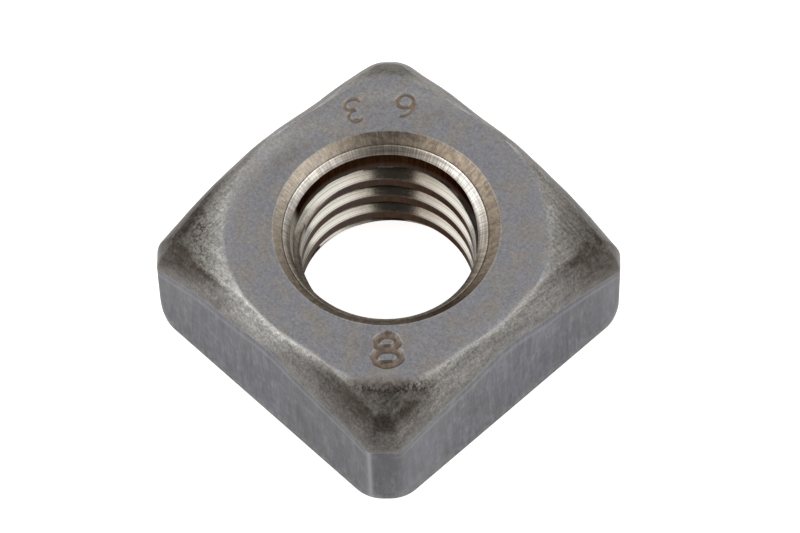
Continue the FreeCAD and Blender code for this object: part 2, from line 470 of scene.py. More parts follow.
def crown_finish(radius, angle):
    """Masks for dirt with painted shade, bright metal with painted highlights, pits and stains at
    points of the crown.
    """
    depth = inset(radius * np.cos(angle), radius * np.sin(angle), HEIGHT)
    grime = patches(radius, angle, GRIME_AND_SHADE_BY_RADIUS) + patches(depth, angle, GRIME_AND_SHADE_BY_INSET)
    fall = HEIGHT - crown_height(radius, angle)
    fade = POLISH_FADE + lobes(angle, POLISH_WIDER)
    fading = smoothstep(*POLISH_START, fall) * np.exp(-(np.maximum(fall, 0) / fade) ** 1.5)
    scoured = np.minimum(lobes(angle, POLISH), 1) * fading
    sheen = patches(radius, angle, SHEEN_BY_RADIUS) + patches(depth, angle, SHEEN_BY_INSET)
    return {
        "grime": np.minimum(grime, 1),
        "polish": np.minimum(scoured + sheen, 1),
        "pits": patches(radius, angle, PITS, 2.0),
        "stain": patches(radius, angle, STAINS),
        "depth": depth,
    }


def eased_height(radius, angle):
    """Crown and top face joined by a round, and how far beyond its edge a point is."""
    softness = TOP_EDGE_SOFTNESS + lobes(angle, TOP_EDGE_SOFTER)
    fall = HEIGHT - crown_height(radius, angle)
    eased = (fall + np.sqrt(fall ** 2 + softness ** 2)) / 2
    ease_in = smoothstep(MOUTH_RADIUS + 0.1, MOUTH_RADIUS + 1.2, radius)
    return HEIGHT - eased * ease_in, smoothstep(-0.10, 0.22, fall)


def top_face_edge(angle, wall_radius):
    """Radius at which the crown comes up to the top face."""
    near, far = np.full(angle.shape, MOUTH_RADIUS), wall_radius.copy()
    for _ in range(40):
        middle = (near + far) / 2
        is_flat = crown_height(middle, angle) > HEIGHT
        near = np.where(is_flat, middle, near)
        far = np.where(is_flat, far, middle)
    return (near + far) / 2


# Hole section
def bored_radius(height, angle):
    """Radius of the bored hole, countersinks included and thread left out."""
    heights = [0, EXIT_HEIGHT, LEAD_HEIGHT, NECK_HEIGHT, THROAT_HEIGHT, RIM_HEIGHT, HEIGHT]
    radii = [EXIT_RADIUS, CREST_RADIUS, CREST_RADIUS, NECK_RADIUS, THROAT_RADIUS, RIM_RADIUS,
             MOUTH_RADIUS]
    turned = np.interp(height, heights, radii)
    in_countersink = np.interp(
        height, [NECK_HEIGHT - 0.2, THROAT_HEIGHT, RIM_HEIGHT, HEIGHT], [0, 1, 0.4, 0])
    near_mouth = smoothstep(RIM_HEIGHT, HEIGHT, height)
    return (turned - lobes(angle, COUNTERSINK_NARROWER) * in_countersink
            + lobes(angle, MOUTH_WIDER) * near_mouth)


def threaded_radius(height, angle):
    """Radius of the tapped hole, how bare of thread it is, and how much of that is lead-in."""
    crest_top = CREST_TOP_THERE + PITCH * (angle - CREST_BEARING) / (2 * np.pi)
    below = (crest_top - height) % PITCH
    stops = [0, CREST_FLAT, CREST_FLAT + FLANK_RISE, PITCH - FLANK_RISE, PITCH]
    radii = [CREST_RADIUS, CREST_RADIUS, ROOT_RADIUS, ROOT_RADIUS, CREST_RADIUS]
    tapped = np.interp(below, stops, radii)
    fade = THREAD_FADE_LOW - lobes(angle, FADE_LOWER)
    faded = smoothstep(fade, fade + THREAD_FADE_HIGH - THREAD_FADE_LOW, height)
    tapped = np.minimum(tapped, ROOT_RADIUS - THREAD_FADE_DEPTH * faded)
    bored = bored_radius(height, angle)
    in_lead = smoothstep(LEAD_HEIGHT - 0.1, LEAD_HEIGHT, height) * (height < NECK_HEIGHT + 0.02)
    in_lead = in_lead * np.minimum(lobes(angle, CUT_LEAD), 1)
    bare = 1 - smoothstep(0.0, THREAD_BITES, tapped - bored)
    return np.maximum(tapped, bored), bare, bare * in_lead


def root_shadow(radius):
    """Painted shade in the thread's root, darkest at the root itself."""
    return (0.45 * smoothstep(CREST_RADIUS + 0.25, ROOT_RADIUS - 0.15, radius)
            + 0.55 * smoothstep(ROOT_RADIUS - 0.10, ROOT_RADIUS - 0.01, radius))


def column_angles():
    """Bearings of the columns, closer together at the stamped figures and the corners."""
    fine = np.linspace(-np.pi, np.pi, 7201)
    density = np.ones(fine.shape)
    for _, bearing, radius, size, _, _ in STAMPS:
        density += CLOSER_AT_FIGURES * bulge(fine, bearing, 0.75 * math.degrees(size / radius))
    for corner in (-135, -45, 45, 135):
        density += CLOSER_AT_CORNERS * bulge(fine, corner, CORNER_SPREAD)
    total = np.concatenate([[0], np.cumsum((density[1:] + density[:-1]) / 2)])
    return np.interp(np.arange(COLUMNS) / COLUMNS * total[-1], total, fine)


class Rings:
    """Rings of points, with what the material needs to know at each point."""

    MASKS = ("crown", "shoulder", "side", "lip", "base", "rim", "bevel", "bare", "flank", "stamp",
             "grime", "polish", "pits", "stain", "depth")

    def __init__(self, angles):
        self.angles = angles
        self.points = []
        self.masks = {name: [] for name in self.MASKS}

    def add(self, radius, height, **masks):
        """One ring, by radius and height at each column; masks not given are 0."""
        shape = self.angles.shape
        radius = np.broadcast_to(radius, shape)
        height = np.broadcast_to(height, shape)
        x, y = radius * np.cos(self.angles), radius * np.sin(self.angles)
        self.points.append(np.c_[x, y, height])
        for name in self.MASKS:
            self.masks[name].append(np.broadcast_to(masks.get(name, 0.0), shape))

    def add_crown(self, radius, height, **masks):
        """One ring of the top face or crown, with the crown's finish."""
        self.add(radius, height, **crown_finish(radius, self.angles), **masks)


def thread_steps():
    """Heights of the rings within one pitch, from the foot of a crest upward."""
    soft = EDGE_SOFTNESS
    flank_top = CREST_FLAT + FLANK_RISE
    return np.concatenate([
        [0, soft],
        [CREST_FLAT / 2],
        [CREST_FLAT - soft, CREST_FLAT, CREST_FLAT + soft],
        np.linspace(CREST_FLAT, flank_top, 6)[1:],
        [flank_top + ROOT_FLAT / 2],
        np.linspace(flank_top + ROOT_FLAT, PITCH, 5)[:-1],
        [PITCH - soft],
    ])


def wiped_bore(angles):
    """Where the bore is wiped clean, left of the hole."""
    from_front = np.degrees(angles + np.pi / 4) % 360
    return smoothstep(*WIPED_FROM, from_front) * (1 - smoothstep(*WIPED_TO, from_front))


def add_thread(rings):
    """Rings that climb the thread: gives the first, the last and how many a pitch has."""
    angles = rings.angles
    steps = thread_steps()
    first_ring = len(rings.points)
    # Two turns lower, moved up to where a ring meets the foot of a crest
    foot = THREAD_FOOT - 2 * PITCH
    crest_foot = CREST_TOP_THERE - CREST_FLAT + PITCH * (-np.pi - CREST_BEARING) / (2 * np.pi)
    foot += (crest_foot - foot) % PITCH
    turns = int(math.ceil((THREAD_FADE_HIGH - foot) / PITCH)) + 1
    crest_dirt_and_shade = CREST_DIRT_AND_SHADE * (1 - lobes(angles, CREST_PALER))
    root_stain = lobes(angles, ROOT_STAIN)
    wiped = wiped_bore(angles)
    for turn in range(turns):
        for step in steps:
            height = foot + turn * PITCH + step + PITCH * (angles + np.pi) / (2 * np.pi)
            height = np.clip(height, THREAD_FOOT, THREAD_FADE_HIGH)
            radius, bare, lead = threaded_radius(height, angles)
            in_exit = height < EXIT_HEIGHT
            lead = np.maximum(lead, bare * wiped * smoothstep(*WIPED_ABOVE, height))
            rings.add(radius, height, bare=crest_dirt_and_shade * (bare - lead) * ~in_exit,
                      flank=1 - bare, bevel=EXIT_BEVEL * bare * in_exit, rim=lead,
                      polish=(0.8 - 0.3 * wiped) * lead,
                      grime=root_shadow(radius) * (1 - bare), stain=root_stain)
    return first_ring, len(rings.points) - 1, len(steps)


def add_mouth(rings):
    """The neck above the thread, the bulged bevel, the rim and its lip."""
    angles = rings.angles
    wiped = wiped_bore(angles)
    for height in np.linspace(THREAD_FADE_HIGH, THROAT_HEIGHT - EDGE_SOFTNESS, 4)[1:]:
        rings.add(bored_radius(height, angles), height, bare=1 - wiped, rim=wiped,
                  polish=0.5 * wiped)

    throat, rim_edge, mouth = (
        bored_radius(height, angles) for height in (THROAT_HEIGHT, RIM_HEIGHT, HEIGHT))
    for share in [1, 0.95, 0.9, 0.8, 0.68, 0.55, 0.42, 0.3, 0.18, 0.1, 0.03]:
        height = RIM_HEIGHT - (RIM_HEIGHT - THROAT_HEIGHT) * share ** BEVEL_BULGE
        # Polish and painted highlight streaks on the bevel
        bright = lobes(angles, BEVEL_POLISH_AND_SHEEN) + patches(share, angles, BEVEL_HIGHLIGHT_STREAKS, 2.0)
        rings.add(rim_edge - (rim_edge - throat) * share, height, bevel=1.0,
                  polish=np.minimum(bright, 1))

    nick = np.minimum(lobes(angles, BARE_NICK), 1)
    rings.add(rim_edge, RIM_HEIGHT - RIM_NICK, bare=0.8 * nick, rim=1 - nick)
    rim_grime = np.minimum(lobes(angles, RIM_GRIME), 1)
    rim_polish = lobes(angles, RIM_POLISH)
    for share in np.concatenate([[0.07], np.linspace(0.15, 0.85, 5), [0.95]]):
        height = RIM_HEIGHT + (HEIGHT - RIM_HEIGHT) * share
        rings.add(bored_radius(height, angles), height, rim=1.0, grime=rim_grime,
                  polish=rim_polish)

    patchy = 0.8 + 0.2 * np.sin(7 * angles) * np.sin(3 * angles + 1)
    lip_polish = LIP_POLISH * (1 - lobes(angles, LIP_DULLER)) * patchy
    rings.add(mouth - 0.02, HEIGHT - 0.022, rim=0.5, polish=lip_polish, crown=0.5)
    rings.add(mouth, HEIGHT - 0.006, rim=0.4, polish=lip_polish, crown=0.6)
    rings.add(mouth + 0.02, HEIGHT - 0.001, polish=0.7 * lip_polish, crown=0.5)


def add_top_face(rings, edge):
    """The top face with its stamped figures, from the mouth out to its edge."""
    angles = rings.angles
    start = bored_radius(HEIGHT, angles) + 0.05
    for share in np.linspace(0, 1, TOP_FACE_RINGS):
        radius = start + (edge - start) * share
        change, inside = stamped(radius * np.cos(angles), radius * np.sin(angles))
        height, beyond = eased_height(radius, angles)
        rings.add_crown(radius, np.minimum(height + change, HEIGHT), stamp=inside, crown=beyond)


def add_crown_slope(rings, edge):
    """The crown from the top face's edge to the crease, and the shoulder beyond it."""
    angles = rings.angles
    edge_depth = inset(edge * np.cos(angles), edge * np.sin(angles), HEIGHT)
    crease = np.minimum(shoulder_width(angles), edge_depth - 0.02)
    for share in np.concatenate([np.linspace(0.03, 0.95, 15), [1.0]]):
        radius = reach(angles, edge_depth + (crease - edge_depth) * share, HEIGHT)
        height, beyond = eased_height(radius, angles)
        height = height - SKIN_RELIEF * share * undulation(radius, angles, height)
        rings.add_crown(radius, height, crown=beyond)
    for share in np.concatenate([[0.06], np.linspace(0.15, 0.93, 9), [1.0]]):
        radius = reach(angles, crease * (1 - share), HEIGHT)
        height = eased_height(radius, angles)[0]
        height = height - SKIN_RELIEF * undulation(radius, angles, height)
        rings.add_crown(radius, height, crown=1.0, shoulder=smoothstep(0, 0.3, share))
    return height


def add_side(rings, wall, wall_top):
    """The sides from the shoulder down, round the foot edge and under the nut."""
    angles = rings.angles
    on_facet = lobes(angles, FACETS)
    crown_grime_and_shade = crown_finish(wall, angles)["grime"]
    polish = np.minimum(lobes(angles, FACET_EDGE_WEAR) + lobes(angles, SIDE_SHEEN), 1)
    for share in np.concatenate([[0.012, 0.05, 0.08, 0.1, 0.12], np.linspace(0.15, 1, 11)]):
        height = wall_top + (BASE_ROUND - wall_top) * share
        hollow = undulation(wall, angles, height, SIDE_HOLLOW) * math.sin(math.pi * share)
        grime = (SCALE_AND_SHADE_BELOW_CROWN * crown_grime_and_shade * (1 - share) + FACET_GRIME * on_facet
                 + lobes(angles, FOOT_SHADE) * smoothstep(0.85, 1, share)
                 + lobes(angles, SIDE_GRIME))
        lip = np.exp(-((share - LIP_SHARE) / LIP_WIDTH) ** 2) * (1 - on_facet)
        rings.add(reach(angles, SIDE_RELIEF * hollow, height), height, side=1.0, lip=lip,
                  grime=grime, polish=polish)
    for turn in np.radians(np.linspace(0, 90, 6)[1:]):
        height = BASE_ROUND * (1 - math.sin(turn))
        rings.add(reach(angles, BASE_ROUND * (1 - math.cos(turn)), height), height, side=1.0)
    base_edge = reach(angles, BASE_ROUND, 0.0)
    for share in np.linspace(0, 1, 5)[1:-1]:
        rings.add(base_edge + (EXIT_RADIUS - base_edge) * share, 0, base=1.0)


def nut_rings(angles):
    """All rings of the nut, from the foot of the hole round to the bearing face."""
    rings = Rings(angles)
    wall = reach(angles, 0.0, HEIGHT)
    edge = top_face_edge(angles, wall)
    for height in np.linspace(0, THREAD_FOOT, 4)[:-1]:
        rings.add(bored_radius(height, angles), height, bevel=EXIT_BEVEL)
    helix = add_thread(rings)
    add_mouth(rings)
    add_top_face(rings, edge)
    wall_top = add_crown_slope(rings, edge)
    add_side(rings, wall, wall_top)
    return rings, helix


def ring_faces(ring_count, helix):
    """Four-cornered faces; across the seam the thread's rings climb one pitch."""
    first_helix, last_helix, rings_per_pitch = helix
    faces = []
    index = np.arange(ring_count * COLUMNS).reshape(ring_count, COLUMNS)
    for ring in range(ring_count):
        above = (ring + 1) % ring_count
        faces.append(np.c_[index[ring, :-1], index[ring, 1:], index[above, 1:], index[above, :-1]])
        low_end, high_end = ring, above
        if first_helix <= ring < last_helix:
            low_end = min(ring + rings_per_pitch, last_helix)
            high_end = min(ring + 1 + rings_per_pitch, last_helix)
        faces.append([[index[ring, -1], index[low_end, 0], index[high_end, 0], index[above, -1]]])
    return np.concatenate(faces)


def make_nut(name):
    """The nut's mesh in metres, with the masks as point attributes."""
    rings, helix = nut_rings(column_angles())
    points = np.concatenate(rings.points) * MM
    faces = ring_faces(len(rings.points), helix)
    mesh = bpy.data.meshes.new(name)
    mesh.from_pydata(points.tolist(), [], faces[:, ::-1].tolist())
    for mask in Rings.MASKS:
        layer = mesh.attributes.new(mask, "FLOAT", "POINT")
        layer.data.foreach_set("value", np.concatenate(rings.masks[mask]).astype(np.float32))
    work = bmesh.new()
    work.from_mesh(mesh)
    bmesh.ops.remove_doubles(work, verts=work.verts, dist=CLOSED_WITHIN)
    bmesh.ops.recalc_face_normals(work, faces=work.faces)
    work.to_mesh(mesh)
    work.free()
    for face in mesh.polygons:
        face.use_smooth = True
    mesh.set_sharp_from_angle(angle=SHARP_ANGLE)
    nut = bpy.data.objects.new(name, mesh)
    bpy.context.scene.collection.objects.link(nut)
    return nut


def aim_camera():
    """Camera at the photograph's viewing angle; gives the direction from the nut to it."""
    sin, cos = math.sin, math.cos
    back = Vector((sin(CAMERA_AZIMUTH) * cos(CAMERA_ELEVATION),
                   -cos(CAMERA_AZIMUTH) * cos(CAMERA_ELEVATION), sin(CAMERA_ELEVATION)))
    level = Vector((cos(CAMERA_AZIMUTH), sin(CAMERA_AZIMUTH), 0))
    upright = back.cross(level)
    right = cos(CAMERA_ROLL) * level + sin(CAMERA_ROLL) * upright
    up = -sin(CAMERA_ROLL) * level + cos(CAMERA_ROLL) * upright
    per_pixel = CAMERA_DISTANCE / FOCAL_PIXELS
    place = (Vector((0, 0, HEIGHT / 2)) + back * CAMERA_DISTANCE
             - right * (NUT_CENTRE_PIXEL[0] - IMAGE_WIDTH / 2) * per_pixel
             + up * (NUT_CENTRE_PIXEL[1] - IMAGE_HEIGHT / 2) * per_pixel)
    data = bpy.data.cameras.new("camera")
    data.sensor_width = SENSOR_WIDTH
    data.lens = FOCAL_PIXELS * SENSOR_WIDTH / IMAGE_WIDTH
    data.clip_start = 0.01
    camera = bpy.data.objects.new("camera", data)
    turn = Matrix((right, up, back)).transposed()
    camera.matrix_world = Matrix.Translation(place * MM) @ turn.to_4x4()
    bpy.context.scene.collection.objects.link(camera)
    bpy.context.scene.camera = camera
    return back


# Materials: what each part of the metal reflects head on
TOP_BLUE, TOP_BROWN = (0.262, 0.262, 0.282), (0.288, 0.268, 0.252)
# The bright top colour is a painted highlight.
TOP_STREAK, TOP_STAIN, TOP_BRIGHT = (0.22, 0.175, 0.14), (0.205, 0.165, 0.132), (0.48, 0.47, 0.455)
CROWN_DARK, CROWN_PALE = (0.213, 0.202, 0.184), (0.262, 0.252, 0.234)
# The bright colour is scoured metal with painted highlights; the scale colour is scale and dirt
# with painted shade.
CROWN_BRIGHT, CROWN_SCALE_AND_SHADE = (0.47, 0.462, 0.438), (0.057, 0.048, 0.040)
CROWN_PIT = (0.038, 0.024, 0.015)
SHOULDER_DARK, SHOULDER_PALE = (0.103, 0.096, 0.091), (0.130, 0.121, 0.114)
SIDE_DARK, SIDE_PALE = (0.090, 0.091, 0.107), (0.105, 0.104, 0.112)
# The bright colour is worn metal with painted highlights; the scale colour is scale and dirt with
# painted shade.
SIDE_BRIGHT, SIDE_LIP, SIDE_SCALE_AND_SHADE = (0.22, 0.22, 0.24), (0.20, 0.20, 0.22), (0.05, 0.044, 0.040)
# The second colour is painted shade along the foot edge.
FOOT_WARM, FOOT_PAINTED_SHADE = (0.19, 0.165, 0.14), (0.03, 0.024, 0.018)
RIM_DARK, RIM_PALE = (0.205, 0.165, 0.130), (0.325, 0.266, 0.202)
RIM_BRIGHT, RIM_DIRT = (0.42, 0.385, 0.33), (0.052, 0.036, 0.025)
# The bright bevel colour is polished metal with painted highlights.
BEVEL_DULL, BEVEL_BRIGHT = (0.34, 0.292, 0.24), (0.95, 0.94, 0.90)
# The dark bore colour is dirt with painted shade of the hole.
BORE_DIRT_AND_SHADE, BORE_GLINT = (0.038, 0.020, 0.011), (0.30, 0.20, 0.13)
FLANK_DARK, FLANK_PALE = (0.17, 0.158, 0.13), (0.45, 0.435, 0.395)
# The second colour here is painted shade at the thread's root.
FLANK_STAIN, FLANK_ROOT_SHADE = (0.31, 0.256, 0.195), (0.03, 0.02, 0.013)
FIGURE_BROWN = (0.20, 0.145, 0.10)
WHITE = (1.0, 1.0, 1.0)
TOP_ROUGHNESS = 0.44
ROUGHNESS = {"crown": 0.42, "side": 0.46, "rim": 0.42, "bevel": 0.38, "bare": 0.45,
             "flank": 0.15, "stamp": 0.5}
BUMP_STRENGTH, BUMP_DEPTH = 0.35, 0.03 * MM


class Graph:
    """Short names for the nodes of one material."""

    def __init__(self, name):
        self.material = bpy.data.materials.new(name)
        self.material.use_nodes = True
        self.tree = self.material.node_tree
        self.shader = self.tree.nodes["Principled BSDF"]
        self.place = self.make("ShaderNodeTexCoord").outputs["Object"]

    def make(self, kind, **settings):
        """A new node with its settings."""
        node = self.tree.nodes.new(kind)
        for key, value in settings.items():
            setattr(node, key, value)
        return node

    def feed(self, socket, value):
        """Link a socket to another, or set its number, vector or colour."""
        if isinstance(value, bpy.types.NodeSocket):
            self.tree.links.new(value, socket)
        elif isinstance(value, (tuple, list)) and len(value) == 3 and socket.type == "RGBA":
            socket.default_value = (*value, 1)
        else:
            socket.default_value = value

    def math(self, operation, *values):
        """Result of one operation on sockets or numbers."""
        node = self.make("ShaderNodeMath", operation=operation)
        for socket, value in zip(node.inputs, values):
            self.feed(socket, value)
        return node.outputs[0]

    def mask(self, name):
        """One of the masks that the mesh carries."""
        return self.make("ShaderNodeAttribute", attribute_name=name).outputs["Fac"]

    def split(self, vector):
        """The three parts of a vector."""
        node = self.make("ShaderNodeSeparateXYZ")
        self.feed(node.inputs[0], vector)
        return node.outputs

    def join(self, *parts):
        """A vector from three sockets or numbers."""
        node = self.make("ShaderNodeCombineXYZ")
        for socket, part in zip(node.inputs, parts):
            self.feed(socket, part)
        return node.outputs[0]

    def stretched(self, scale, turn=0.0):
        """Object coordinates in millimetres, scaled and turned about the axis."""
        node = self.make("ShaderNodeMapping")
        self.feed(node.inputs["Vector"], self.place)
        node.inputs["Rotation"].default_value = (0, 0, turn)
        node.inputs["Scale"].default_value = [factor / MM for factor in scale]
        return node.outputs[0]

    def around(self, turns, outward, along):
        """Coordinates that run round the axis, outward from it and along it."""
        x, y, z = self.split(self.stretched((1, 1, 1)))
        angle = self.math("ARCTAN2", y, x)
        radius = self.math("SQRT", self.math("ADD", self.math("MULTIPLY", x, x),
                                             self.math("MULTIPLY", y, y)))
        return self.join(self.math("MULTIPLY", angle, turns),
                         self.math("MULTIPLY", radius, outward),
                         self.math("MULTIPLY", z, along))

    def noise(self, vector, scale=1.0, detail=3.0, rough=0.55):
        """Noise at a vector, about 0.5 in the middle."""
        node = self.make("ShaderNodeTexNoise")
        self.feed(node.inputs["Vector"], vector)
        node.inputs["Scale"].default_value = scale
        node.inputs["Detail"].default_value = detail
        node.inputs["Roughness"].default_value = rough
        return node.outputs["Fac"]

    def spread(self, value, low, high, to_low=0.0, to_high=1.0):
        """A value taken smoothly from one range to another."""
        node = self.make("ShaderNodeMapRange", interpolation_type="SMOOTHSTEP")
        for socket, number in zip(node.inputs, (value, low, high, to_low, to_high)):
            self.feed(socket, number)
        return node.outputs[0]

    def blend(self, share, first, second):
        """Colour between two colours."""
        return self.mix("RGBA", "Color", share, first, second)

    def blend_value(self, share, first, second):
        """Value between two values."""
        return self.mix("FLOAT", "Float", share, first, second)

    def mix(self, data_type, suffix, share, first, second):
        """One Mix node; its sockets share their names, so they go by identifier."""
        node = self.make("ShaderNodeMix", data_type=data_type)
        sockets = {socket.identifier: socket for socket in node.inputs}
        self.feed(sockets["Factor_Float"], share)
        self.feed(sockets["A_" + suffix], first)
        self.feed(sockets["B_" + suffix], second)
        return next(socket for socket in node.outputs if socket.identifier == "Result_" + suffix)

    def tinted(self, colour, amount):
        """Colour made lighter or darker by a value around 1."""
        node = self.make("ShaderNodeVectorMath", operation="SCALE")
        self.feed(node.inputs[0], colour)
        self.feed(node.inputs["Scale"], amount)
        return node.outputs[0]


def top_colour(graph, cloud, mottle, speckle, grain):
    """Top face: blued grey, brown clouds, fine speckle, faint drawn streaks, painted highlights."""
    streak = graph.noise(graph.stretched((6, 0.9, 1), -CAMERA_AZIMUTH), 1.0, 3, 0.6)
    stain = graph.math("MULTIPLY", graph.mask("stain"), graph.spread(mottle, 0.35, 0.65, 0.3, 1.3))
    top = graph.blend(graph.spread(cloud, 0.42, 0.68), TOP_BLUE, TOP_BROWN)
    top = graph.blend(graph.spread(streak, 0.60, 0.74, 0, 0.4), top, TOP_STREAK)
    top = graph.blend(graph.math("MINIMUM", stain, 1.0), top, TOP_STAIN)
    # Painted highlights on the top face
    top = graph.blend(graph.mask("polish"), top, TOP_BRIGHT)
    top = graph.tinted(top, graph.spread(speckle, 0.28, 0.72, 0.80, 1.20))
    return graph.tinted(top, graph.spread(grain, 0.28, 0.72, 0.86, 1.14))


def crown_colour(graph, cloud, mottle, speckle, grain):
    """Crown: olive silver, with a brown grey shoulder, dark scale with painted shade, painted
    highlights and pits.
    """
    pit = graph.noise(graph.stretched((1, 1, 1), 1.9), 5.2, 4, 0.7)
    flecks = graph.noise(graph.stretched((1, 1, 1), 1.1), 5.5, 2, 0.6)
    # Lines drawn along the outline: quick across it, slow along it
    east, north, _ = graph.split(graph.stretched((1, 1, 1)))
    along_outline = graph.join(graph.math("MULTIPLY", graph.mask("depth"), 7.0),
                               graph.math("MULTIPLY", east, 0.8),
                               graph.math("MULTIPLY", north, 0.8))
    drawn = graph.noise(along_outline, 1.0, 4, 0.7)
    # Scale and dirt, with painted shade in creases and valleys
    scale = graph.math("MULTIPLY", graph.mask("grime"), graph.spread(mottle, 0.3, 0.7, 0.75, 1.25))
    pitted = graph.math("MULTIPLY", graph.mask("pits"), graph.spread(pit, 0.47, 0.56))
    pitted = graph.math("MINIMUM", graph.math("MULTIPLY", pitted, 0.85), 0.95)
    flecked = graph.spread(flecks, 0.38, 0.62, 0.72, 1.22)

    crown = graph.blend(graph.spread(mottle, 0.35, 0.65), CROWN_DARK, CROWN_PALE)
    shoulder = graph.blend(graph.spread(cloud, 0.35, 0.65), SHOULDER_DARK, SHOULDER_PALE)
    crown = graph.blend(graph.mask("shoulder"), crown, shoulder)
    # Scoured metal with painted highlights
    crown = graph.blend(graph.mask("polish"), crown, CROWN_BRIGHT)
    crown = graph.tinted(crown, graph.blend_value(graph.mask("polish"), 1.0, flecked))
    crown = graph.blend(graph.math("MINIMUM", scale, 1.0), crown, CROWN_SCALE_AND_SHADE)
    crown = graph.tinted(crown, graph.spread(drawn, 0.35, 0.65, 0.82, 1.18))
    crown = graph.blend(pitted, crown, CROWN_PIT)
    crown = graph.tinted(crown, graph.spread(speckle, 0.32, 0.66, 0.68, 1.30))
    return graph.tinted(crown, graph.spread(grain, 0.30, 0.70, 0.80, 1.20))


def side_colour(graph, cloud, mottle, speckle):
    """Sides: blue grey with upright brush marks, darker at the foot with painted shade."""
    brush = graph.noise(graph.stretched((5, 5, 0.45)), 1.0, 4, 0.7)
    fine_brush = graph.noise(graph.stretched((14, 14, 1.3)), 1.0, 3, 0.7)
    wide_brush = graph.noise(graph.stretched((1.2, 1.2, 0.35)), 1.0, 3, 0.6)
    scuff = graph.noise(graph.stretched((1.7, 1.7, 1.0), 0.4), 1.0, 4, 0.7)
    height = graph.split(graph.stretched((1, 1, 1)))[2]
    warm = graph.math("MULTIPLY", graph.spread(height, 0.1, 1.1, 0.6, 0),
                      graph.spread(mottle, 0.4, 0.65))

    side = graph.blend(graph.spread(cloud, 0.35, 0.7), SIDE_DARK, SIDE_PALE)
    side = graph.tinted(side, graph.spread(brush, 0.3, 0.7, 0.82, 1.18))
    side = graph.tinted(side, graph.spread(scuff, 0.48, 0.60, 0.95, 1.14))
    side = graph.tinted(side, graph.spread(fine_brush, 0.3, 0.7, 0.87, 1.13))
    side = graph.tinted(side, graph.spread(wide_brush, 0.3, 0.7, 0.90, 1.10))
    side = graph.tinted(side, graph.spread(speckle, 0.3, 0.7, 0.78, 1.20))
    side = graph.tinted(side, graph.spread(mottle, 0.35, 0.65, 0.90, 1.08))
    # Scale and dirt with painted shade, then worn metal with painted highlights
    side = graph.blend(graph.mask("grime"), side, SIDE_SCALE_AND_SHADE)
    side = graph.blend(graph.mask("polish"), side, SIDE_BRIGHT)
    side = graph.blend(graph.math("MULTIPLY", graph.mask("lip"), 0.5), side, SIDE_LIP)
    side = graph.blend(warm, side, FOOT_WARM)
    # Painted shade: darker towards the foot edge
    return graph.blend(graph.spread(height, 0.04, 0.20, 0.85, 0), side, FOOT_PAINTED_SHADE)


def hole_colours(graph, mottle, speckle):
    """Hole: turned rim, polished bevel with painted highlights, bare bore dark with dirt and
    painted shade, cut flanks with painted shade at the root.
    """
    marks = graph.noise(graph.around(62, 1.5, 0.4), 1.0, 3, 0.7)
    hatch = graph.noise(graph.around(75, 0.8, 0.8), 1.0, 3, 0.65)
    scored = graph.noise(graph.around(1.3, 8, 8), 1.0, 3, 0.65)
    turned = graph.noise(graph.around(0, 15, 0), 1.0, 4, 0.75)

    rim = graph.blend(graph.spread(mottle, 0.35, 0.65), RIM_DARK, RIM_PALE)
    rim = graph.blend(graph.mask("grime"), rim, RIM_DIRT)
    rim = graph.blend(graph.mask("polish"), rim, RIM_BRIGHT)
    rim = graph.tinted(rim, graph.spread(marks, 0.3, 0.7, 0.80, 1.20))
    rim = graph.tinted(rim, graph.spread(speckle, 0.3, 0.7, 0.80, 1.20))

    # Polished metal with painted highlights
    bevel = graph.blend(graph.mask("polish"), BEVEL_DULL, BEVEL_BRIGHT)
    bevel = graph.tinted(bevel, graph.spread(scored, 0.35, 0.65, 0.72, 1.22))
    bevel = graph.tinted(bevel, graph.spread(hatch, 0.3, 0.7, 0.64, 1.32))

    # Dirt with painted shade of the hole
    bare = graph.tinted(BORE_DIRT_AND_SHADE, graph.spread(marks, 0.3, 0.7, 0.6, 1.4))

    flank = graph.blend(graph.spread(turned, 0.35, 0.62), FLANK_DARK, FLANK_PALE)
    flank = graph.blend(graph.mask("stain"), flank, FLANK_STAIN)
    # Painted shade towards the thread's root
    flank = graph.blend(graph.mask("grime"), flank, FLANK_ROOT_SHADE)
    return {"rim": rim, "bevel": bevel, "bare": bare, "flank": flank}


